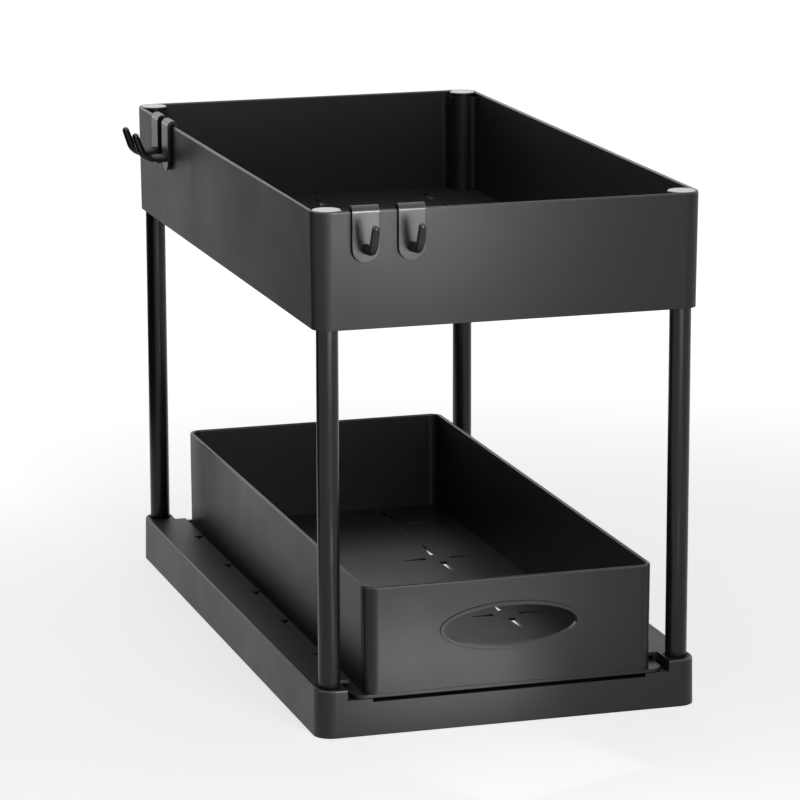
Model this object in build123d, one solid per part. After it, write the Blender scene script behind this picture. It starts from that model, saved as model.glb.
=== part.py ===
from build123d import *
import os
from math import cos, radians, sin, tan

# Pull out cabinet basket: a moulded basket on four tubes over a moulded base, with a drawer
# that slides in the base and four lift-off hooks on the basket's rim.
# Millimetres. X runs across the front, Y from front to back, Z up. The origin is the middle
# of the base's footprint, on the surface that the base stands on. The front is at -Y.

# ---------------------------------------------------------------- driving dimensions
RACK_WIDTH = 207.7  # basket across its rim
RACK_DEPTH = 385.0  # basket front to back, at its rim
RIM_LEVEL = 274.0  # basket rim above the surface

BASKET_HEIGHT = 60.7
BASKET_WALL = 2.0
BASKET_FLOOR = 2.0
BASKET_CORNER = 9.0
BASKET_DRAFT = 0.61  # degrees, wider at the rim
BASKET_RIM_ROUND = 0.8

BASE_EXTRA_WIDTH = -0.4  # base ledge against basket rim
BASE_EXTRA_DEPTH = 1.9
BASE_HEIGHT = 25.4
BASE_WALL = 2.0
BASE_CORNER = 9.0
BASE_DRAFT = 0.9  # degrees, wider at the bottom
BASE_EDGE_ROUND = 1.0
LEDGE_WIDTH = 22.0  # from the base's side to the ledge's inner edge
LEDGE_THICKNESS = 2.0
RETAINING_LIP = 6.3  # the part of the ledge that hangs over the drawer's runner
LIP_SETBACK = 17.85  # lip ends this far from the base's front and back
DECK_TOP = 17.8
DECK_THICKNESS = 2.0
FRONT_DECK = 52.0  # depth of the deck at the front
DECK_RIB_PITCH = 37.0
SHELF_WIDTH = 13.35  # shelf under each slide rail, inwards from the channel web
RIB_THICKNESS = 1.6
RIB_BAYS = 6

POST_INSET = 8.7  # tube axes, inwards from the basket's rim
TUBE_RADIUS = 5.7
TUBE_WALL = 0.8
TUBE_BORE_CLEARANCE = 0.1
SOCKET_WALL = 2.6
SOCKET_FLOOR_LOW = 2.0
SOCKET_FLOOR = 2.0
COLUMN_WALL = 1.8
COLUMN_LIP = 2.0  # inner lip that rests on the tube's top end
COLUMN_FILLET = 3.0

BUSH_WALL = 1.15
BUSH_DEPTH = 3.0
BUSH_FIT = 0.05
BUSH_BELOW_LEDGE = 0.3

CAP_SEAT_GAP = 0.1  # cap to the side of its seat
CAP_THICKNESS = 2.6
CAP_EDGE_CHAMFER = 0.4
CAP_STEM_LENGTH = 16.0
CAP_STEM_WALL = 1.4
CAP_STEM_FIT = 0.05

PAD_RADIUS = 8.0
PAD_INSET = 13.0  # pad centre, inwards from the base's footprint
PAD_STUD_RADIUS = 2.5
PAD_STUD_FIT = 0.05
PAD_POCKET_CLEARANCE = 0.1
PAD_SEAT_SPAN = 26.0

WINDOW_SETBACK = 47.3  # outer windows, from the lip's ends
WINDOW_PITCH = 60.9  # from the middle window to the next ones
WINDOW_OUT = 5.5  # how far a window reaches into the ledge
WINDOW_TAPER = 1.3
WINDOW_HALF = 4.1
WINDOW_MOUTH = 1.4

RAIL_THICKNESS = 1.8
RAIL_WALL = 2.4
RAIL_END_GAP = 0.25
RAIL_TOP_GAP = 0.1  # below the lip
RAIL_EDGE_SETBACK = 0.4
RAIL_SLOT_WIDTH = 3.0
RAIL_STOP_LENGTH = 2.5
RAIL_STOP_HEIGHT = 3.2
NOSE_LENGTH = 4.0
NOSE_WIDTH = 0.8
NOSE_BELOW_LEDGE = 0.4

DRAWER_SIDE_GAP = 2.85  # rim of the drawer to the ledge's inner edge
DRAWER_REAR_GAP = 14.9  # drawer's back to the base's back
DRAWER_RIM_LEVEL = 78.4
DRAWER_WALL = 2.0
DRAWER_FLOOR = 1.8
DRAWER_CORNER = 7.25
DRAWER_DRAFT = 0.3
DRAWER_RIM_ROUND = 0.8
GROOVE_WIDTH = 0.9  # upright groove where each side wall meets the front corner
GROOVE_DEPTH = 0.8
GROOVE_BELOW_RIM = 1.6
DRAWER_HELD = 72.0  # length that stays in the base with the drawer pulled right out
RUNNER_CLEARANCE = 0.3  # under the drawer's floor
RUNNER_SIDE_CLEARANCE = 0.5
RUNNER_CORNER = 7.0
LUG_LENGTH = 8.0
LUG_DROP = 1.4
LUG_SIDE_CLEARANCE = 0.4
LUG_FROM_BACK = 2.0
LUG_STOP_CLEARANCE = 0.3  # to the slot's front end, with the drawer pulled right out

GRIP_LENGTH = 72.5  # oval finger hole
GRIP_HEIGHT = 21.3
GRIP_RING = 2.1
GRIP_LEVEL = 52.6
GRIP_PROUD = 0.6

STAR_SIDE_START = 7.5  # rays across the tray
STAR_SIDE_END = 20.5
STAR_LONG_START = 8.0  # rays along the tray
STAR_LONG_END = 31.0
STAR_ROOT_HALF = 2.2
STAR_TIP_HALF = 0.3
STAR_ROW_PITCH = 81.7
DRAWER_STAR_FROM_SIDE = 39.8
DRAWER_STAR_FROM_END = 42.0
BASKET_STAR_FROM_SIDE = 36.85
BASKET_STAR_FROM_END = 48.5

HOOK_WIDTH = 14.2
HOOK_THICKNESS = 1.9
HOOK_GAP = 0.3  # to the basket's wall and rim
HOOK_DROP = 19.1  # rim to the middle of the plate's round end
HOOK_LEG_DROP = 14.0
HOOK_LEG_WIDTH = 12.0
HOOK_BEND_DROP = 0.5  # middle of the bend over the rim, below the rim
HOOK_LEG_ROUND = 2.0
PRONG_DROP = 19.1
PRONG_ROOT_RADIUS = 2.7
PRONG_RADIUS = 2.2
PRONG_TIP_RADIUS = 1.9
PRONG_REACH = 6.7
PRONG_BEND_RADIUS = 8.0
PRONG_BEND_ANGLE = 70.0
PRONG_RISE = 8.2
FRONT_HOOK_FROM_SIDE = 26.25  # first hook, from the basket's left side
SIDE_HOOK_FROM_BACK = 55.7  # last hook, from the basket's back
HOOK_PITCH = 24.3

# ---------------------------------------------------------------- places worked out from them
BASE_WIDTH = RACK_WIDTH + BASE_EXTRA_WIDTH
BASE_DEPTH = RACK_DEPTH + BASE_EXTRA_DEPTH
FOOT_SPREAD = BASE_HEIGHT * tan(radians(BASE_DRAFT))
POST_X = RACK_WIDTH / 2 - POST_INSET
POST_Y = RACK_DEPTH / 2 - POST_INSET
POSTS = {
    "front_left": (-POST_X, -POST_Y),
    "front_right": (POST_X, -POST_Y),
    "rear_left": (-POST_X, POST_Y),
    "rear_right": (POST_X, POST_Y),
}

BASKET_LOW = RIM_LEVEL - BASKET_HEIGHT
COLUMN_TOP = RIM_LEVEL - CAP_THICKNESS
TUBE_LOW = SOCKET_FLOOR_LOW + SOCKET_FLOOR
TUBE_TOP = COLUMN_TOP - COLUMN_LIP
POST_BORE = TUBE_RADIUS + TUBE_BORE_CLEARANCE
COLUMN_RADIUS = POST_BORE + COLUMN_WALL
STEM_RADIUS = TUBE_RADIUS - TUBE_WALL - CAP_STEM_FIT

LEDGE_LOW = BASE_HEIGHT - LEDGE_THICKNESS
LEDGE_EDGE = BASE_WIDTH / 2 - LEDGE_WIDTH
CHANNEL_SIDE = LEDGE_EDGE + RETAINING_LIP
SHELF_EDGE = CHANNEL_SIDE - SHELF_WIDTH
LIP_END = BASE_DEPTH / 2 - LIP_SETBACK
CHANNEL_END = BASE_DEPTH / 2 - BASE_WALL
OPENING_FRONT = -BASE_DEPTH / 2 + FRONT_DECK
DECK_LOW = DECK_TOP - DECK_THICKNESS
RAIL_TOP = DECK_TOP + RAIL_THICKNESS
RAIL_INSIDE = CHANNEL_SIDE - RAIL_WALL
RAIL_EDGE = SHELF_EDGE + RAIL_EDGE_SETBACK

DRAWER_FRONT = -BASE_DEPTH / 2
DRAWER_BACK = BASE_DEPTH / 2 - DRAWER_REAR_GAP
DRAWER_DEPTH = DRAWER_BACK - DRAWER_FRONT
DRAWER_TRAVEL = DRAWER_DEPTH - DRAWER_HELD
DRAWER_MIDDLE = (DRAWER_BACK + DRAWER_FRONT) / 2
DRAWER_WIDTH = 2 * (LEDGE_EDGE - DRAWER_SIDE_GAP)
DRAWER_LOW = RAIL_TOP + RUNNER_CLEARANCE
DRAWER_FLOOR_TOP = DRAWER_LOW + DRAWER_FLOOR
RUNNER_EDGE = RAIL_INSIDE - RUNNER_SIDE_CLEARANCE
SLOT_MIDDLE = (RAIL_EDGE + RUNNER_EDGE) / 2
LUG_BACK = DRAWER_BACK - LUG_FROM_BACK
LUG_FRONT = LUG_BACK - LUG_LENGTH

WINDOW_OUTER = LIP_END - WINDOW_SETBACK
WINDOW_STATIONS = (-WINDOW_OUTER, -WINDOW_PITCH, 0.0, WINDOW_PITCH, WINDOW_OUTER)
DRAWER_STAR_COLUMN = DRAWER_WIDTH / 2 - DRAWER_STAR_FROM_SIDE
DRAWER_STAR_ROW = DRAWER_DEPTH / 2 - DRAWER_STAR_FROM_END
BASKET_STAR_COLUMN = RACK_WIDTH / 2 - BASKET_STAR_FROM_SIDE
BASKET_STAR_ROW = RACK_DEPTH / 2 - BASKET_STAR_FROM_END
FRONT_HOOK_START = -RACK_WIDTH / 2 + FRONT_HOOK_FROM_SIDE
SIDE_HOOK_END = RACK_DEPTH / 2 - SIDE_HOOK_FROM_BACK
FRONT_HOOKS = (FRONT_HOOK_START, FRONT_HOOK_START + HOOK_PITCH)
SIDE_HOOKS = (SIDE_HOOK_END - HOOK_PITCH, SIDE_HOOK_END)

REACH = 50.0  # how far cutting blocks run past the part
FAR = RACK_DEPTH + RACK_WIDTH  # past every side of the rack
OVERCUT = 1.0  # how far a window or vent cutter runs past its wall
LEVEL_TOLERANCE = 0.01


# ---------------------------------------------------------------- shared shapes
def drafted_block(width, depth, corner, angle, low, high):
    """Rounded block, its size given at its top, that narrows by angle going down."""
    lean = (high - low) * tan(radians(angle))
    outline = RectangleRounded(width - 2 * lean, depth - 2 * lean, corner - lean)
    return extrude(Plane.XY.offset(low) * outline, amount=high - low, taper=-angle)


def span_block(x_from, x_to, y_from, y_to, z_from, z_to):
    """Square block between two corners."""
    middle = ((x_from + x_to) / 2, (y_from + y_to) / 2, (z_from + z_to) / 2)
    return Location(middle) * Box(x_to - x_from, y_to - y_from, z_to - z_from)


def side_block(side, x_from, x_to, y_from, y_to, z_from, z_to):
    """Block on one side of the rack, its x counted outwards from the middle."""
    inner, outer = sorted((side * x_from, side * x_to))
    return span_block(inner, outer, y_from, y_to, z_from, z_to)


def post_disc(x, y, radius, low, high):
    """Upright cylinder on the axis (x, y)."""
    return Location((x, y, (low + high) / 2)) * Cylinder(radius, high - low)


def edges_at(part, level):
    """Edges that lie flat at one height."""
    return part.edges().filter_by(
        lambda edge: abs(edge.bounding_box().min.Z - level) < LEVEL_TOLERANCE
        and abs(edge.bounding_box().max.Z - level) < LEVEL_TOLERANCE
    )


def star_ray(start, end):
    """Ray along +X: widest at its flat root, with straight sides to a narrow tip."""
    root, tip = STAR_ROOT_HALF, STAR_TIP_HALF
    return Polygon((start, root), (start, -root), (end, -tip), (end, tip), align=None)


def star_vents(middle_y, outer_row, column_xs, low, high):
    """Cutter for the four ray stars of a tray floor, in four rows about its middle."""
    rays = [(0, STAR_SIDE_START, STAR_SIDE_END), (90, STAR_LONG_START, STAR_LONG_END)]
    rays += [(angle + 180, start, end) for angle, start, end in rays]
    star = Sketch() + [Rotation(0, 0, angle) * star_ray(start, end) for angle, start, end in rays]
    offsets = (outer_row - STAR_ROW_PITCH, outer_row)
    rows = [middle_y + way * offset for way in (-1, 1) for offset in offsets]
    places = [Location((x, y, low - OVERCUT)) for x in column_xs for y in rows]
    return Part() + [extrude(place * star, amount=high - low + 2 * OVERCUT) for place in places]


# ---------------------------------------------------------------- upper basket and its posts
def basket_columns(pocket):
    """The four hollow columns in the basket's corners, blended into its walls."""
    floor_top = BASKET_LOW + BASKET_FLOOR
    lean = (RIM_LEVEL - floor_top) * tan(radians(BASKET_DRAFT))
    inset = BASKET_WALL + lean
    outline = RectangleRounded(
        RACK_WIDTH - 2 * inset, RACK_DEPTH - 2 * inset, BASKET_CORNER - inset
    )
    for x, y in POSTS.values():
        outline -= Location((x, y)) * Circle(COLUMN_RADIUS + lean)
    outline = fillet(outline.vertices(), COLUMN_FILLET)
    around = extrude(
        Plane.XY.offset(floor_top) * outline, amount=COLUMN_TOP - floor_top, taper=-BASKET_DRAFT
    )
    below_caps = span_block(
        -RACK_WIDTH, RACK_WIDTH, -RACK_DEPTH, RACK_DEPTH, floor_top, COLUMN_TOP
    )
    return (pocket & below_caps) - around


def make_basket():
    """Open moulded basket with corner columns, bored for the tubes."""
    body = drafted_block(
        RACK_WIDTH, RACK_DEPTH, BASKET_CORNER, BASKET_DRAFT, BASKET_LOW, RIM_LEVEL
    )
    pocket = drafted_block(
        RACK_WIDTH - 2 * BASKET_WALL,
        RACK_DEPTH - 2 * BASKET_WALL,
        BASKET_CORNER - BASKET_WALL,
        BASKET_DRAFT,
        BASKET_LOW + BASKET_FLOOR,
        RIM_LEVEL,
    )
    body -= pocket
    body = fillet(edges_at(body, RIM_LEVEL), BASKET_RIM_ROUND)
    body += basket_columns(pocket)
    for x, y in POSTS.values():
        body -= post_disc(x, y, POST_BORE, BASKET_LOW - REACH, TUBE_TOP)
        body -= post_disc(x, y, STEM_RADIUS + TUBE_BORE_CLEARANCE, TUBE_TOP, COLUMN_TOP)
        body -= post_disc(x, y, COLUMN_RADIUS, COLUMN_TOP, RIM_LEVEL + REACH)
    columns = (-BASKET_STAR_COLUMN, 0, BASKET_STAR_COLUMN)
    floor_top = BASKET_LOW + BASKET_FLOOR
    return body - star_vents(0, BASKET_STAR_ROW, columns, BASKET_LOW, floor_top)


def make_tube(x, y):
    """Plain round tube from the base's socket up to the lip in the basket's column."""
    outside = post_disc(x, y, TUBE_RADIUS, TUBE_LOW, TUBE_TOP)
    return outside - post_disc(x, y, TUBE_RADIUS - TUBE_WALL, TUBE_LOW, TUBE_TOP)


def make_cap(x, y):
    """Cap over a column, level with the rim, with a hollow stem that plugs into the tube."""
    head = post_disc(x, y, COLUMN_RADIUS - CAP_SEAT_GAP, COLUMN_TOP, RIM_LEVEL)
    head = chamfer(edges_at(head, RIM_LEVEL), CAP_EDGE_CHAMFER)
    stem_low = COLUMN_TOP - CAP_STEM_LENGTH
    stem = post_disc(x, y, STEM_RADIUS, stem_low, COLUMN_TOP)
    stem -= post_disc(x, y, STEM_RADIUS - CAP_STEM_WALL, stem_low, COLUMN_TOP)
    return head + stem


# ---------------------------------------------------------------- base
def drawer_channel():
    """Cutter for the drawer's way through the base, which leaves the two overhanging lips."""
    through = BASE_DEPTH / 2 + REACH
    above = BASE_HEIGHT + REACH
    wide, lip = CHANNEL_SIDE, LEDGE_EDGE
    cutter = span_block(-SHELF_EDGE, SHELF_EDGE, -through, through, DECK_TOP, above)
    cutter += span_block(-lip, lip, -through, through, RAIL_TOP, above)
    cutter += span_block(-wide, wide, -through, -LIP_END, RAIL_TOP, above)
    cutter += span_block(-wide, wide, LIP_END, through, RAIL_TOP, above)
    cutter += span_block(-wide, wide, -LIP_END, LIP_END, RAIL_TOP, LEDGE_LOW)
    return cutter + span_block(-wide, wide, -CHANNEL_END, CHANNEL_END, DECK_TOP, RAIL_TOP)


def base_hollows(outer_wall):
    """Cutter for the underside: the middle opening and the channels inside the beams."""
    below = -REACH
    cutter = span_block(-SHELF_EDGE, SHELF_EDGE, OPENING_FRONT, LIP_END, below, BASE_HEIGHT)
    web = SHELF_EDGE + BASE_WALL
    web_front, web_back = OPENING_FRONT - BASE_WALL, LIP_END + BASE_WALL
    under_deck = span_block(-CHANNEL_SIDE, CHANNEL_SIDE, -FAR, FAR, below, DECK_LOW)
    under_deck -= span_block(-web, web, web_front, web_back, below, DECK_LOW)
    cutter += under_deck & outer_wall
    beam_side = CHANNEL_SIDE + BASE_WALL
    for side in (-1, 1):
        beam = side_block(side, beam_side, FAR, -FAR, FAR, below, LEDGE_LOW)
        cutter += beam & outer_wall
    return cutter


def base_ribs():
    """Cross ribs inside the two side beams, and ribs under the front deck."""
    half = RIB_THICKNESS / 2
    front = -BASE_DEPTH / 2 + BASE_WALL / 2
    ribs = Part()
    for x in (-DECK_RIB_PITCH, 0, DECK_RIB_PITCH):
        ribs += span_block(x - half, x + half, front, OPENING_FRONT - BASE_WALL, BASE_WALL, DECK_LOW)
    bay = 2 * LIP_END / RIB_BAYS
    for side in (-1, 1):
        for count in range(RIB_BAYS + 1):
            y = -LIP_END + count * bay
            outer = BASE_WIDTH / 2 - BASE_WALL / 2
            ribs += side_block(side, CHANNEL_SIDE, outer, y - half, y + half, BASE_WALL, LEDGE_LOW)
    return ribs


def ledge_window(side, y):
    """Tick shaped window in the ledge's inner edge."""
    inner = LEDGE_EDGE - OVERCUT
    outer = LEDGE_EDGE + WINDOW_OUT
    outline = Polygon(
        (side * inner, WINDOW_HALF),
        (side * outer, WINDOW_HALF),
        (side * (outer - WINDOW_TAPER), -WINDOW_HALF),
        (side * LEDGE_EDGE, WINDOW_HALF - WINDOW_MOUTH),
        (side * inner, WINDOW_HALF - WINDOW_MOUTH),
        align=None,
    )
    start = Location((0, y, LEDGE_LOW - OVERCUT)) * outline
    return extrude(start, amount=LEDGE_THICKNESS + 2 * OVERCUT, dir=(0, 0, 1))


def make_base():
    """Moulded frame: ledges over hollow beams, corner sockets, pad seats and the drawer channel."""
    inside = drafted_block(
        BASE_WIDTH - 2 * BASE_WALL,
        BASE_DEPTH - 2 * BASE_WALL,
        BASE_CORNER - BASE_WALL,
        -BASE_DRAFT,
        -OVERCUT,
        BASE_HEIGHT,
    )
    envelope = drafted_block(BASE_WIDTH, BASE_DEPTH, BASE_CORNER, -BASE_DRAFT, 0, BASE_HEIGHT)
    body = fillet(edges_at(envelope, BASE_HEIGHT), BASE_EDGE_ROUND) - base_hollows(inside)
    body += base_ribs()
    for x, y in POSTS.values():
        x_way, y_way = (1 if x > 0 else -1), (1 if y > 0 else -1)
        pad_x, pad_y = pad_place(x_way, y_way)
        socket = post_disc(x, y, POST_BORE + SOCKET_WALL, SOCKET_FLOOR_LOW, LEDGE_LOW)
        corner = Location((x_way * BASE_WIDTH / 2, y_way * BASE_DEPTH / 2))
        span = PAD_SEAT_SPAN
        seat = corner * span_block(-span, span, -span, span, SOCKET_FLOOR_LOW, TUBE_LOW)
        body += (socket + seat) & envelope
        body -= post_disc(x, y, POST_BORE, TUBE_LOW, BASE_HEIGHT + REACH)
        body -= post_disc(x, y, POST_BORE + BUSH_WALL, BASE_HEIGHT - BUSH_DEPTH, BASE_HEIGHT + REACH)
        body -= post_disc(pad_x, pad_y, PAD_STUD_RADIUS + PAD_STUD_FIT, 0, TUBE_LOW)
        body -= post_disc(pad_x, pad_y, PAD_RADIUS + PAD_POCKET_CLEARANCE, 0, SOCKET_FLOOR_LOW)
    body -= drawer_channel()
    for side in (-1, 1):
        for y in WINDOW_STATIONS:
            body -= ledge_window(side, y)
    return body


def make_bush(x, y):
    """Soft black ring pressed into the ledge round a tube's foot."""
    low, high = BASE_HEIGHT - BUSH_DEPTH, BASE_HEIGHT - BUSH_BELOW_LEDGE
    ring = post_disc(x, y, POST_BORE + BUSH_WALL - BUSH_FIT, low, high)
    return ring - post_disc(x, y, TUBE_RADIUS + BUSH_FIT, low, high)


def pad_place(x_way, y_way):
    """Centre of a foot pad in one corner."""
    x = BASE_WIDTH / 2 + FOOT_SPREAD - PAD_INSET
    y = BASE_DEPTH / 2 + FOOT_SPREAD - PAD_INSET
    return x_way * x, y_way * y


def make_pad(x_way, y_way):
    """Round non-slip pad with a stud that plugs into the base's corner plate."""
    x, y = pad_place(x_way, y_way)
    disc = post_disc(x, y, PAD_RADIUS, 0, SOCKET_FLOOR_LOW)
    return disc + post_disc(x, y, PAD_STUD_RADIUS, SOCKET_FLOOR_LOW, TUBE_LOW)


# ---------------------------------------------------------------- slide rails and drawer
def make_rail(side):
    """Slippery strip that lies in one side of the channel, with noses in the ledge's windows."""
    end = CHANNEL_END - RAIL_END_GAP
    rail = side_block(side, RAIL_EDGE, CHANNEL_SIDE, -end, end, DECK_TOP, RAIL_TOP)
    wall_top = LEDGE_LOW - RAIL_TOP_GAP
    rail += side_block(side, RAIL_INSIDE, CHANNEL_SIDE, -LIP_END, LIP_END, DECK_TOP, wall_top)
    slot_half = RAIL_SLOT_WIDTH / 2
    slot_in, slot_out = SLOT_MIDDLE - slot_half, SLOT_MIDDLE + slot_half
    slot_front = LUG_FRONT - DRAWER_TRAVEL - LUG_STOP_CLEARANCE
    rail -= side_block(side, slot_in, slot_out, slot_front, DRAWER_BACK, DECK_TOP, RAIL_TOP)
    stop = DRAWER_BACK + RUNNER_SIDE_CLEARANCE
    rail += side_block(
        side, RAIL_EDGE, RAIL_INSIDE, stop, stop + RAIL_STOP_LENGTH, DECK_TOP,
        RAIL_TOP + RAIL_STOP_HEIGHT,
    )
    nose_high = BASE_HEIGHT - NOSE_BELOW_LEDGE
    for y in WINDOW_STATIONS:
        nose_end = y + WINDOW_HALF - WINDOW_MOUTH / 2
        rail += side_block(
            side, RAIL_INSIDE, RAIL_INSIDE + NOSE_WIDTH, nose_end - NOSE_LENGTH, nose_end,
            RAIL_TOP, nose_high,
        )
    return rail


def make_drawer():
    """Tray on a floor plate whose edges stand out as runners, with an oval finger hole."""
    walls = drafted_block(
        DRAWER_WIDTH, DRAWER_DEPTH, DRAWER_CORNER, DRAWER_DRAFT, DRAWER_LOW, DRAWER_RIM_LEVEL
    )
    pocket = drafted_block(
        DRAWER_WIDTH - 2 * DRAWER_WALL,
        DRAWER_DEPTH - 2 * DRAWER_WALL,
        DRAWER_CORNER - DRAWER_WALL,
        DRAWER_DRAFT,
        DRAWER_FLOOR_TOP,
        DRAWER_RIM_LEVEL,
    )
    body = walls - pocket
    body = fillet(edges_at(body, DRAWER_RIM_LEVEL), DRAWER_RIM_ROUND)
    plate = RectangleRounded(2 * RUNNER_EDGE, DRAWER_DEPTH, RUNNER_CORNER)
    body += extrude(Plane.XY.offset(DRAWER_LOW) * plate, amount=DRAWER_FLOOR)
    drawer = Location((0, DRAWER_MIDDLE, 0)) * body

    front = Plane.XZ.offset(-DRAWER_FRONT + GRIP_PROUD) * Location((0, GRIP_LEVEL))
    thickness = DRAWER_WALL + 2 * GRIP_PROUD
    collar = front * Ellipse(GRIP_LENGTH / 2 + GRIP_RING, GRIP_HEIGHT / 2 + GRIP_RING)
    hole = front * Ellipse(GRIP_LENGTH / 2, GRIP_HEIGHT / 2)
    drawer += extrude(collar, amount=-thickness)
    drawer -= extrude(hole, amount=-(thickness + OVERCUT))

    stars = (-DRAWER_STAR_COLUMN, DRAWER_STAR_COLUMN)
    drawer -= star_vents(DRAWER_MIDDLE, DRAWER_STAR_ROW, stars, DRAWER_LOW, DRAWER_FLOOR_TOP)
    groove_back = DRAWER_FRONT + DRAWER_CORNER
    groove_bottom = DRAWER_WIDTH / 2 - GROOVE_DEPTH
    lug_half = RAIL_SLOT_WIDTH / 2 - LUG_SIDE_CLEARANCE
    for side in (-1, 1):
        drawer -= side_block(
            side, groove_bottom, DRAWER_WIDTH, groove_back - GROOVE_WIDTH, groove_back,
            DRAWER_FLOOR_TOP, DRAWER_RIM_LEVEL - GROOVE_BELOW_RIM,
        )
        drawer += side_block(
            side, SLOT_MIDDLE - lug_half, SLOT_MIDDLE + lug_half, LUG_FRONT, LUG_BACK,
            DRAWER_LOW - LUG_DROP, DRAWER_LOW,
        )
    return drawer


# ---------------------------------------------------------------- hooks
def hook_strap():
    """Flat strap folded over the rim. The wall's outer face is y = 0, outwards is -Y, the rim z = 0."""
    plate_out = -HOOK_GAP - HOOK_THICKNESS
    leg_in = BASKET_WALL + HOOK_GAP
    leg_out = leg_in + HOOK_THICKNESS
    half = HOOK_WIDTH / 2
    plate = span_block(-half, half, plate_out, -HOOK_GAP, -HOOK_DROP, -HOOK_BEND_DROP)
    round_end = Location((0, -HOOK_GAP - HOOK_THICKNESS / 2, -HOOK_DROP), (90, 0, 0))
    plate += round_end * Cylinder(half, HOOK_THICKNESS)
    leg_half = HOOK_LEG_WIDTH / 2
    leg = span_block(-leg_half, leg_half, leg_in, leg_out, -HOOK_LEG_DROP, -HOOK_BEND_DROP)
    leg = fillet(leg.edges().filter_by(Axis.Y).group_by(Axis.Z)[0], HOOK_LEG_ROUND)
    inner_radius = BASKET_WALL / 2 + HOOK_GAP
    outer_radius = inner_radius + HOOK_THICKNESS
    ring = Cylinder(outer_radius, HOOK_WIDTH) - Cylinder(inner_radius, HOOK_WIDTH)
    bend = Location((0, BASKET_WALL / 2, -HOOK_BEND_DROP), (0, 90, 0)) * ring
    bend &= span_block(-half, half, plate_out, leg_out, -HOOK_BEND_DROP, outer_radius)
    return plate + bend + leg


def hook_prong():
    """Round prong: a tapered root, a bend and a tapered straight end with a round tip."""
    start = -HOOK_GAP - HOOK_THICKNESS / 2
    bend_start = -HOOK_GAP - HOOK_THICKNESS - PRONG_REACH
    root_length = start - bend_start
    root_middle = (0, (start + bend_start) / 2, -PRONG_DROP)
    root = Location(root_middle, (90, 0, 0)) * Cone(PRONG_ROOT_RADIUS, PRONG_RADIUS, root_length)
    turn = radians(PRONG_BEND_ANGLE)
    bend_middle = (bend_start, -PRONG_DROP + PRONG_BEND_RADIUS)
    bend = Plane.YZ * CenterArc(bend_middle, PRONG_BEND_RADIUS, 270, -PRONG_BEND_ANGLE)
    section = Plane((0, bend_start, -PRONG_DROP), z_dir=(0, -1, 0)) * Circle(PRONG_RADIUS)
    curve = sweep(section, path=bend)
    out, up = -cos(turn), sin(turn)
    bend_end_y = bend_start - PRONG_BEND_RADIUS * sin(turn)
    bend_end_z = -PRONG_DROP + PRONG_BEND_RADIUS * (1 - cos(turn))
    end = Plane((0, bend_end_y, bend_end_z), x_dir=(1, 0, 0), z_dir=(0, out, up))
    straight = end * Location((0, 0, PRONG_RISE / 2)) * Cone(PRONG_RADIUS, PRONG_TIP_RADIUS, PRONG_RISE)
    tip = end * Location((0, 0, PRONG_RISE)) * Sphere(PRONG_TIP_RADIUS)
    return root + curve + straight + tip


def make_hook(place):
    """One lift-off hook at its place on the rim."""
    return place * (hook_strap() + hook_prong())


def hook_places():
    """Names and places of the hooks along the front wall and the left wall."""
    places = {}
    for count, x in enumerate(FRONT_HOOKS, 1):
        places[f"hook_front_{count}"] = Location((x, -RACK_DEPTH / 2, RIM_LEVEL))
    for count, y in enumerate(SIDE_HOOKS, 1):
        places[f"hook_side_{count}"] = Location((-RACK_WIDTH / 2, y, RIM_LEVEL), (0, 0, -90))
    return places


# ---------------------------------------------------------------- the whole rack
def make_all():
    """Every sub-part by name."""
    parts = {"base_frame": make_base(), "upper_basket": make_basket(), "drawer": make_drawer()}
    for name, side in (("left", -1), ("right", 1)):
        parts[f"slide_rail_{name}"] = make_rail(side)
    for name, (x, y) in POSTS.items():
        parts[f"tube_{name}"] = make_tube(x, y)
        parts[f"tube_cap_{name}"] = make_cap(x, y)
        parts[f"socket_bush_{name}"] = make_bush(x, y)
        parts[f"foot_pad_{name}"] = make_pad(1 if x > 0 else -1, 1 if y > 0 else -1)
    for name, place in hook_places().items():
        parts[name] = make_hook(place)
    return parts


os.makedirs("parts", exist_ok=True)
for name, part in make_all().items():
    part.label = name
    export_step(part, f"parts/{name}.step")
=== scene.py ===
from math import radians

import bpy
from mathutils import Matrix, Vector


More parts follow.
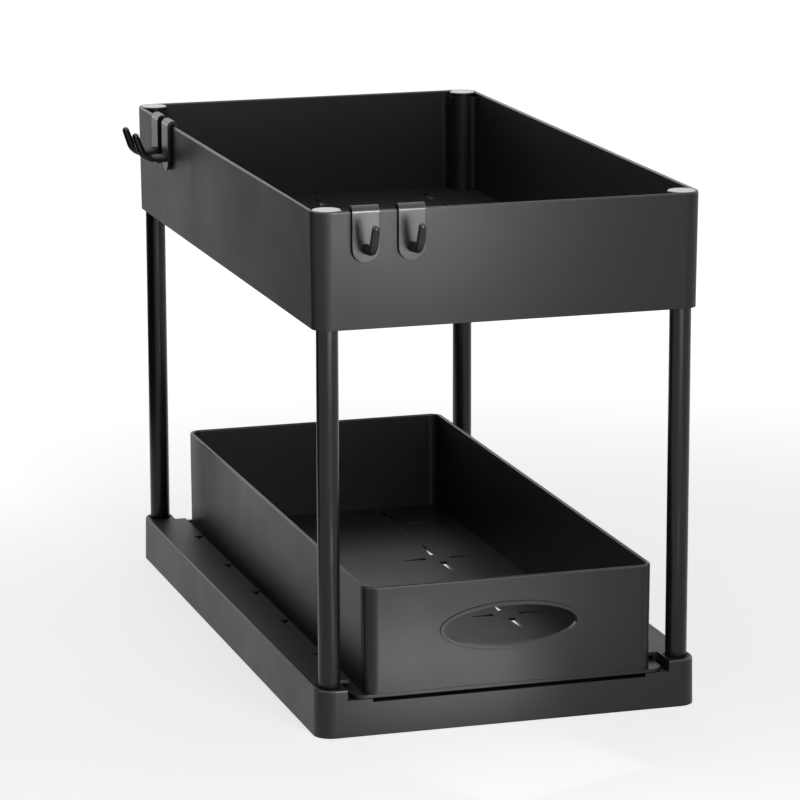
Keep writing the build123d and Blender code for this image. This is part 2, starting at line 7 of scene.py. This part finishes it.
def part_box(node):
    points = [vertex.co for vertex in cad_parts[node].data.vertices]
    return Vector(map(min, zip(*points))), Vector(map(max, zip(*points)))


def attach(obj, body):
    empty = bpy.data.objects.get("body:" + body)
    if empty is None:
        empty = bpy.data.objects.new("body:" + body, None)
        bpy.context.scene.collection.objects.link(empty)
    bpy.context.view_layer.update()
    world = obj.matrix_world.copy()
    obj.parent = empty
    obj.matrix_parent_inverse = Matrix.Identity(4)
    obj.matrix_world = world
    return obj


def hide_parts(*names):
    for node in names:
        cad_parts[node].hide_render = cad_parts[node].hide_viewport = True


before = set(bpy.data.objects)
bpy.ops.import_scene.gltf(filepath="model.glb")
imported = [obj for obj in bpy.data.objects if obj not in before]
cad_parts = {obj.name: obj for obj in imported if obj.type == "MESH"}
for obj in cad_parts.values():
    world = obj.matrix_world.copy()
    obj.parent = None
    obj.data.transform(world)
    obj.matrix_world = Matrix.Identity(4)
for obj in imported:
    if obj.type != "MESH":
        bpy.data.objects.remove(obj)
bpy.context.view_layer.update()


# ------------------------------------------------------------------ base frame
# One black moulded frame: two hollow side beams with a ledge on top, joined front and rear,
# with the drawer's channel between them. It is injection moulded in one shot, and its mould
# was spark eroded, which leaves a fine even grain on every outer face.
class Signal:
    """An output of a node tree that can be used in Python sums."""

    def __init__(self, tree, socket=None):
        self.tree = tree
        self.socket = socket

    def node(self, kind, settings=None, inputs=None, output=0):
        """Adds a node of any kind, its settings first, and gives one of its outputs."""
        node = self.tree.nodes.new(kind)
        for name, value in (settings or {}).items():
            setattr(node, name, value)
        for name, value in (inputs or {}).items():
            if isinstance(value, Signal):
                self.tree.links.new(value.socket, node.inputs[name])
            else:
                node.inputs[name].default_value = value
        return Signal(self.tree, node.outputs[output])

    def maths(self, operation, first, second):
        return self.node("ShaderNodeMath", {"operation": operation}, {0: first, 1: second})

    def __add__(self, other):
        return self.maths("ADD", self, other)

    def __sub__(self, other):
        return self.maths("SUBTRACT", self, other)

    def __rsub__(self, other):
        return self.maths("SUBTRACT", other, self)

    def __mul__(self, other):
        return self.maths("MULTIPLY", self, other)

    __radd__ = __add__
    __rmul__ = __mul__


def new_finish(name):
    """An empty material: its start signal, its object coordinates and its output node."""
    material = bpy.data.materials.new(name)
    material.use_nodes = True
    tree = material.node_tree
    tree.nodes.clear()
    start = Signal(tree)
    place = start.node("ShaderNodeTexCoord", output="Object")
    end = tree.nodes.new("ShaderNodeOutputMaterial")
    return material, start, place, end


def noise(start, place, scale, detail):
    return start.node(
        "ShaderNodeTexNoise",
        {"noise_dimensions": "3D"},
        {"Vector": place, "Scale": scale, "Detail": detail, "Roughness": 0.55},
    )


def rounded_edges(start):
    """1 where a face leans half upwards, as on a rim's rounding, and 0 on flats and walls."""
    facing = start.node("ShaderNodeTexCoord", output="Normal")
    upwards = start.node("ShaderNodeSeparateXYZ", None, {"Vector": facing}, output="Z")
    return start.maths("MAXIMUM", 4.0 * upwards * (1.0 - upwards), 0.0)


def in_crevices(start):
    """1 inside a narrow gap or slot, where shade is painted in, and 0 in corners and in the open.
    """
    widest_gap = 0.003
    # Above the first occlusion value the plastic shows unshaded. Below the second value it is
    # fully covered by painted shade.
    unshaded_above, dark_below = 0.55, 0.30
    open_sky = start.node(
        "ShaderNodeAmbientOcclusion", {"samples": 8}, {"Distance": widest_gap}, output="AO"
    )
    return start.node(
        "ShaderNodeMapRange",
        None,
        {"Value": open_sky, "From Min": unshaded_above, "From Max": dark_below,
         "To Min": 0.0, "To Max": 1.0},
    )


def moulded_plastic(name, colour, dusty_colour, roughness, grain_height, edge_round, gloss=0.0):
    """Black plastic with a fine grain, uneven sheen, dust, painted shade in narrow gaps, and
    polished upper edges.
    """
    material, start, place, end = new_finish(name)
    grain = noise(start, place, scale=2400.0, detail=2.0)
    pits = noise(start, place, scale=900.0, detail=3.0)
    flow = noise(start, place, scale=11.0, detail=3.0)
    handling = noise(start, place, scale=48.0, detail=4.0)
    height = grain * 0.6 + pits * 0.4
    eased_edges = start.node("ShaderNodeBevel", {"samples": 6}, {"Radius": edge_round})
    bump = start.node(
        "ShaderNodeBump",
        None,
        {"Strength": 1.0, "Distance": grain_height, "Height": height, "Normal": eased_edges},
    )
    dust = (flow * 0.6 + handling * 0.4) * 0.7
    polish = start.maths("MAXIMUM", rounded_edges(start), gloss)
    tint = start.node(
        "ShaderNodeMix",
        {"data_type": "RGBA"},
        {"Factor": dust, 6: (*colour, 1.0), 7: (*dusty_colour, 1.0)},
        output=2,
    )
    sheen = roughness + 0.16 * (flow - 0.5) + 0.10 * (handling - 0.5)
    shader = start.node(
        "ShaderNodeBsdfPrincipled",
        None,
        {"Base Color": tint, "Roughness": sheen, "Normal": bump, "IOR": 1.49,
         "Specular IOR Level": 0.3, "Coat Weight": polish, "Coat Roughness": 0.16},
    )
    # Painted shade: a near-black matt shader mixed in over narrow gaps and slots, which darkens
    # the lines where parts meet.
    painted_gap_shade = start.node("ShaderNodeBsdfDiffuse", None, {"Color": (0.002, 0.002, 0.002, 1.0)})
    finish = start.node(
        "ShaderNodeMixShader", None, {0: in_crevices(start), 1: shader, 2: painted_gap_shade}
    )
    material.node_tree.links.new(finish.socket, end.inputs["Surface"])
    return material


def paint(node_name, material):
    """Gives a CAD piece its finish."""
    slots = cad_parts[node_name].data.materials
    slots.clear()
    slots.append(material)


black = (0.010, 0.0103, 0.0103)
dusty_black = (0.014, 0.0145, 0.0145)
base_plastic = moulded_plastic("base_plastic", black, dusty_black, 0.47, 0.00003, 0.0004)
paint("base_frame", base_plastic)


# ------------------------------------------------------------------ slide rails
# A strip of slippery black plastic in each side of the channel. Its noses snap into the
# ledge's five windows. It is unpainted, and smoother than the frame.
rail_plastic = moulded_plastic(
    "rail_plastic", (0.012, 0.012, 0.012), (0.018, 0.018, 0.018), 0.36, 0.00001, 0.0003
)
for side in ("left", "right"):
    paint("slide_rail_" + side, rail_plastic)


# ------------------------------------------------------------------ drawer
# A black moulded tray whose floor edges stand out as runners, with an oval finger hole in
# its front and star shaped vents in its floor. Its walls are glossier than the frame's.
drawer_plastic = moulded_plastic("drawer_plastic", black, dusty_black, 0.41, 0.00002, 0.0003)
paint("drawer", drawer_plastic)


# ------------------------------------------------------------------ corner tubes
# Four thin-walled steel tubes, cut to length, with their ends eased and a black coat baked
# on. They stand in the frame's sockets and carry the upper basket.
def tree_inputs(tree, sizes):
    """Adds named inputs to a geometry tree, and gives their signals by name."""
    for name, kind in sizes.items():
        tree.interface.new_socket(name, in_out="INPUT", socket_type=kind)
    tree.interface.new_socket("Geometry", in_out="OUTPUT", socket_type="NodeSocketGeometry")
    entry = tree.nodes.new("NodeGroupInput")
    return {name: Signal(tree, entry.outputs[name]) for name in sizes}


def ring_on_posts_tree():
    """A geometry tree: one ring with an eased section, repeated at the four corner posts."""
    tree = bpy.data.node_groups.new("ring_on_posts", "GeometryNodeTree")
    size = tree_inputs(tree, {
        "Radius": "NodeSocketFloat",
        "Wall": "NodeSocketFloat",
        "Low": "NodeSocketFloat",
        "High": "NodeSocketFloat",
        "Eased edge": "NodeSocketFloat",
        "Post spread X": "NodeSocketFloat",
        "Post spread Y": "NodeSocketFloat",
        "Around": "NodeSocketInt",
        "Finish": "NodeSocketMaterial",
    })
    start = Signal(tree)
    middle_radius = size["Radius"] - size["Wall"] * 0.5
    path = start.node(
        "GeometryNodeCurvePrimitiveCircle",
        {"mode": "RADIUS"},
        {"Resolution": size["Around"], "Radius": middle_radius},
    )
    section = start.node(
        "GeometryNodeCurvePrimitiveQuadrilateral",
        {"mode": "RECTANGLE"},
        {"Width": size["Wall"], "Height": size["High"] - size["Low"]},
    )
    eased = start.node(
        "GeometryNodeFilletCurve",
        {"mode": "POLY"},
        {"Curve": section, "Radius": size["Eased edge"], "Count": 3, "Limit Radius": True},
    )
    ring = start.node(
        "GeometryNodeCurveToMesh", None, {"Curve": path, "Profile Curve": eased}
    )
    lift = start.node("ShaderNodeCombineXYZ", None, {"Z": (size["Low"] + size["High"]) * 0.5})
    posts = start.node(
        "GeometryNodeMeshGrid",
        None,
        {"Size X": size["Post spread X"], "Size Y": size["Post spread Y"],
         "Vertices X": 2, "Vertices Y": 2},
    )
    raised = start.node("GeometryNodeTransform", None, {"Geometry": ring, "Translation": lift})
    copies = start.node(
        "GeometryNodeInstanceOnPoints", None, {"Points": posts, "Instance": raised}
    )
    solid = start.node("GeometryNodeRealizeInstances", None, {"Geometry": copies})
    coloured = start.node(
        "GeometryNodeSetMaterial", None, {"Geometry": solid, "Material": size["Finish"]}
    )
    end = tree.nodes.new("NodeGroupOutput")
    tree.links.new(coloured.socket, end.inputs["Geometry"])
    return tree


def grown(name, tree, values):
    """A draft object whose mesh comes from a geometry tree with these input values."""
    draft = bpy.data.objects.new(name + "_draft", bpy.data.meshes.new(name + "_draft"))
    bpy.context.scene.collection.objects.link(draft)
    modifier = draft.modifiers.new("tree", "NODES")
    modifier.node_group = tree
    for item in tree.interface.items_tree:
        if item.in_out == "INPUT":
            modifier[item.identifier] = values[item.name]
    return draft


def settle(draft, name, material, body, cad_nodes):
    """Turns a draft object into a plain mesh piece that rides a body and stands for CAD nodes."""
    evaluated = draft.evaluated_get(bpy.context.evaluated_depsgraph_get())
    mesh = bpy.data.meshes.new_from_object(evaluated)
    mesh.name = name
    bpy.data.objects.remove(draft)
    mesh.materials.clear()
    mesh.materials.append(material)
    mesh.shade_smooth()
    mesh.set_sharp_from_angle(angle=radians(40))
    piece = bpy.data.objects.new(name, mesh)
    bpy.context.scene.collection.objects.link(piece)
    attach(piece, body)
    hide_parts(*cad_nodes)


def coated_steel(name, colour, roughness):
    """Black baked coat on a drawn tube, with the faint lengthwise lines of the drawing."""
    material, start, place, end = new_finish(name)
    stretched = start.node(
        "ShaderNodeMapping", None, {"Vector": place, "Scale": (1.0, 1.0, 0.03)}
    )
    lines = noise(start, stretched, scale=2600.0, detail=3.0)
    orange_peel = noise(start, place, scale=700.0, detail=2.0)
    bump = start.node(
        "ShaderNodeBump",
        None,
        {"Strength": 1.0, "Distance": 0.000012, "Height": lines * 0.5 + orange_peel * 0.5},
    )
    wear = noise(start, place, scale=30.0, detail=4.0)
    shader = start.node(
        "ShaderNodeBsdfPrincipled",
        None,
        {"Base Color": (*colour, 1.0), "Roughness": roughness + 0.12 * (wear - 0.5),
         "Normal": bump, "IOR": 1.5, "Specular IOR Level": 0.2, "Coat Weight": 0.15,
         "Coat Roughness": 0.2},
    )
    material.node_tree.links.new(shader.socket, end.inputs["Surface"])
    return material


posts = ("front_left", "front_right", "rear_left", "rear_right")
tube_low, tube_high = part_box("tube_front_right")
rear_low, rear_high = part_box("tube_rear_right")
tube_radius = (tube_high.x - tube_low.x) / 2
tube_wall = 0.0008
post_spread_x = tube_low.x + tube_high.x
post_spread_y = rear_low.y + rear_high.y
ring_on_posts = ring_on_posts_tree()
tube_coating = coated_steel("tube_coating", (0.010, 0.010, 0.010), 0.32)
tubes = grown("corner_tubes", ring_on_posts, {
    "Radius": tube_radius,
    "Wall": tube_wall,
    "Low": tube_low.z,
    "High": tube_high.z,
    "Eased edge": 0.0003,
    "Post spread X": post_spread_x,
    "Post spread Y": post_spread_y,
    "Around": 64,
    "Finish": tube_coating,
})
settle(tubes, "corner_tubes", tube_coating, "rack", ["tube_" + p for p in posts])


# ------------------------------------------------------------------ socket bushes
# A soft black ring pressed into the frame round each tube's foot, which takes up the play
# between the tube and its socket.
def soft_rubber(name, colour):
    """Dull black rubber with a bloomed, slightly mottled face."""
    material, start, place, end = new_finish(name)
    bloom = noise(start, place, scale=160.0, detail=5.0)
    pores = noise(start, place, scale=1800.0, detail=2.0)
    bump = start.node(
        "ShaderNodeBump", None, {"Strength": 1.0, "Distance": 0.00003, "Height": pores}
    )
    tint = start.node(
        "ShaderNodeMix",
        {"data_type": "RGBA"},
        {"Factor": bloom, 6: (*colour, 1.0), 7: (0.030, 0.030, 0.030, 1.0)},
        output=2,
    )
    shader = start.node(
        "ShaderNodeBsdfPrincipled",
        None,
        {"Base Color": tint, "Roughness": 0.70 + 0.15 * (bloom - 0.5), "Normal": bump,
         "IOR": 1.45},
    )
    material.node_tree.links.new(shader.socket, end.inputs["Surface"])
    return material


bush_low, bush_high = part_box("socket_bush_front_right")
bush_radius = (bush_high.x - bush_low.x) / 2
bush_rubber = soft_rubber("bush_rubber", (0.003, 0.003, 0.003))
bushes = grown("socket_bushes", ring_on_posts, {
    "Radius": bush_radius,
    "Wall": bush_radius - tube_radius - 0.00005,
    "Low": bush_low.z,
    "High": bush_high.z,
    "Eased edge": 0.00025,
    "Post spread X": post_spread_x,
    "Post spread Y": post_spread_y,
    "Around": 48,
    "Finish": bush_rubber,
})
settle(
    bushes, "socket_bushes", bush_rubber, "rack",
    ["socket_bush_" + p for p in posts],
)


# ------------------------------------------------------------------ foot pads
# Four round rubber pads, each with a stud pushed into the frame's corner plate. They lie
# flush with the frame's lower edge, as if pressed flat by the rack's weight.
pad_rubber = soft_rubber("pad_rubber", (0.012, 0.012, 0.012))
for post in posts:
    paint("foot_pad_" + post, pad_rubber)


# ------------------------------------------------------------------ upper basket
# A black moulded tray with a hollow column in each corner, which slides down over a tube.
# It has the frame's grain outside, and star vents in its floor.
basket_plastic = moulded_plastic("basket_plastic", black, dusty_black, 0.47, 0.00003, 0.0003)
paint("upper_basket", basket_plastic)


# ------------------------------------------------------------------ tube caps
# A flat plastic button that closes each column and plugs into the tube below it. It is
# moulded with a polished top, level with the basket's rim.
cap_plastic = moulded_plastic(
    "cap_plastic", (0.020, 0.020, 0.020), (0.030, 0.030, 0.030), 0.25, 0.000005, 0.0003, gloss=1.0
)
for post in posts:
    paint("tube_cap_" + post, cap_plastic)


# ------------------------------------------------------------------ hooks
# A moulded strap folded over the rim, with a round prong that bends up in front of it. It
# lifts off by hand, and is glossier than the trays.
hook_plastic = moulded_plastic(
    "hook_plastic", (0.008, 0.008, 0.008), (0.012, 0.012, 0.012), 0.36, 0.00001, 0.0004
)
for hook_name in ("hook_front_1", "hook_front_2", "hook_side_1", "hook_side_2"):
    paint(hook_name, hook_plastic)


# ------------------------------------------------------------------ floor, lamps and camera
# A plain white floor that keeps the shadow, soft lamps and an even white surround. The small
# strips light the front faces, and one black card keeps the left faces from mirroring white.
def sees_background(start):
    """1 for rays from the camera and through gloss or glass, which see plain white."""
    ways = start.tree.nodes.new("ShaderNodeLightPath").outputs
    rays = [Signal(start.tree, ways[name]) for name in (
        "Is Camera Ray", "Is Glossy Ray", "Is Transmission Ray"
    )]
    return rays[0].maths("MAXIMUM", rays[0].maths("MAXIMUM", rays[0], rays[1]), rays[2])


def stage_panel(name, paint_name, corners):
    """A flat panel of the set with four corners, and what its paint is built from."""
    mesh = bpy.data.meshes.new(name)
    mesh.from_pydata(corners, [], [(0, 1, 2, 3)])
    panel = bpy.data.objects.new(name, mesh)
    bpy.context.scene.collection.objects.link(panel)
    material, start, place, end = new_finish(paint_name)
    mesh.materials.append(material)
    return panel, start, place, end


glow_near, glow_far = 0.71, 1.0
glow_from, glow_to = 0.25, 0.90
half_span = 15.0
_, floor_start, floor_place, floor_end = stage_panel("floor", "floor_paint", [
    (-half_span, -half_span, 0), (half_span, -half_span, 0),
    (half_span, half_span, 0), (-half_span, half_span, 0),
])
reach = floor_start.node(
    "ShaderNodeVectorMath", {"operation": "LENGTH"}, {0: floor_place}, output="Value"
)
brightness = floor_start.node(
    "ShaderNodeMapRange",
    {"interpolation_type": "SMOOTHSTEP"},
    {"Value": reach, "From Min": glow_from, "From Max": glow_to,
     "To Min": glow_near, "To Max": glow_far},
)
glow = floor_start.node(
    "ShaderNodeEmission", None, {"Color": brightness * sees_background(floor_start)}
)
matt = floor_start.node("ShaderNodeBsdfDiffuse", None, {"Color": (0.80, 0.80, 0.80, 1)})
both = floor_start.node("ShaderNodeAddShader", None, {0: glow, 1: matt})
floor_start.tree.links.new(both.socket, floor_end.inputs["Surface"])

world = bpy.data.worlds.new("surround")
bpy.context.scene.world = world
world.use_nodes = True
world.node_tree.nodes.clear()
air = Signal(world.node_tree)
backdrop = air.node("ShaderNodeBackground", None, {"Color": sees_background(air)})
world_end = world.node_tree.nodes.new("ShaderNodeOutputWorld")
world.node_tree.links.new(backdrop.socket, world_end.inputs["Surface"])


def soft_lamp(name, place, target, width, height, power, grid_angle=180.0):
    """A softbox that the camera doesn't see itself, with a grid that keeps its beam narrow."""
    data = bpy.data.lights.new(name, "AREA")
    data.shape = "RECTANGLE"
    data.size = width
    data.size_y = height
    data.energy = power
    data.spread = radians(grid_angle)
    lamp = bpy.data.objects.new(name, data)
    bpy.context.scene.collection.objects.link(lamp)
    lamp.location = place
    lamp.rotation_mode = "QUATERNION"
    lamp.rotation_quaternion = (Vector(target) - Vector(place)).to_track_quat("-Z", "Y")
    lamp.visible_camera = False


soft_lamp("front_softbox", (0.02, -0.95, 0.30), (-0.04, -0.19, 0.14), 0.45, 0.45, 2.40)
soft_lamp("upper_strip", (0.00, -0.48, 0.262), (-0.06, -0.19, 0.285), 0.07, 0.09, 0.078, 55.0)
soft_lamp("drawer_strip", (0.02, -0.44, 0.009), (-0.02, -0.19, 0.060), 0.12, 0.016, 0.015, 45.0)
soft_lamp("base_strip", (0.00, -0.31, 0.009), (-0.05, -0.19, 0.018), 0.10, 0.016, 0.010, 45.0)
soft_lamp("rear_left_softbox", (-0.40, 0.55, 0.25), (-0.10, 0.15, 0.15), 0.30, 0.40, 0.39)
soft_lamp("rear_left_strip", (-0.22, 0.46, 0.20), (-0.10, 0.10, 0.22), 0.08, 0.22, 0.057)
soft_lamp("overhead_softbox", (0.0, 0.0, 1.3), (0.0, 0.0, 0.14), 0.8, 0.8, 1.5)
soft_lamp("rear_softbox", (0.2, 1.1, 0.9), (0.0, 0.0, 0.14), 0.8, 0.6, 1.2)

card_x = -0.3
card_front, card_rear = -0.1, 0.9
card_height = 0.5
card, card_start, _, card_end = stage_panel("black_card", "card_paint", [
    (card_x, card_front, 0), (card_x, card_rear, 0),
    (card_x, card_rear, card_height), (card_x, card_front, card_height),
])
card.visible_camera = False
card.visible_diffuse = False
card.visible_shadow = False
card.visible_transmission = False
card_black = card_start.node("ShaderNodeBsdfDiffuse", None, {"Color": (0.0, 0.0, 0.0, 1)})
card_start.tree.links.new(card_black.socket, card_end.inputs["Surface"])

camera_place = (-0.6350, -2.0764, 0.6211)
camera_azimuth = 16.99
camera_drop = 12.74
camera_roll = -0.135
lens = 179.35
camera_data = bpy.data.cameras.new("camera")
camera_data.sensor_width = 36.0
camera_data.lens = lens
camera = bpy.data.objects.new("camera", camera_data)
bpy.context.scene.collection.objects.link(camera)
camera.matrix_world = (
    Matrix.Translation(camera_place)
    @ Matrix.Rotation(radians(-camera_azimuth), 4, "Z")
    @ Matrix.Rotation(radians(90 - camera_drop), 4, "X")
    @ Matrix.Rotation(radians(camera_roll), 4, "Z")
)
bpy.context.scene.camera = camera
bpy.context.scene.view_settings.view_transform = "Standard"
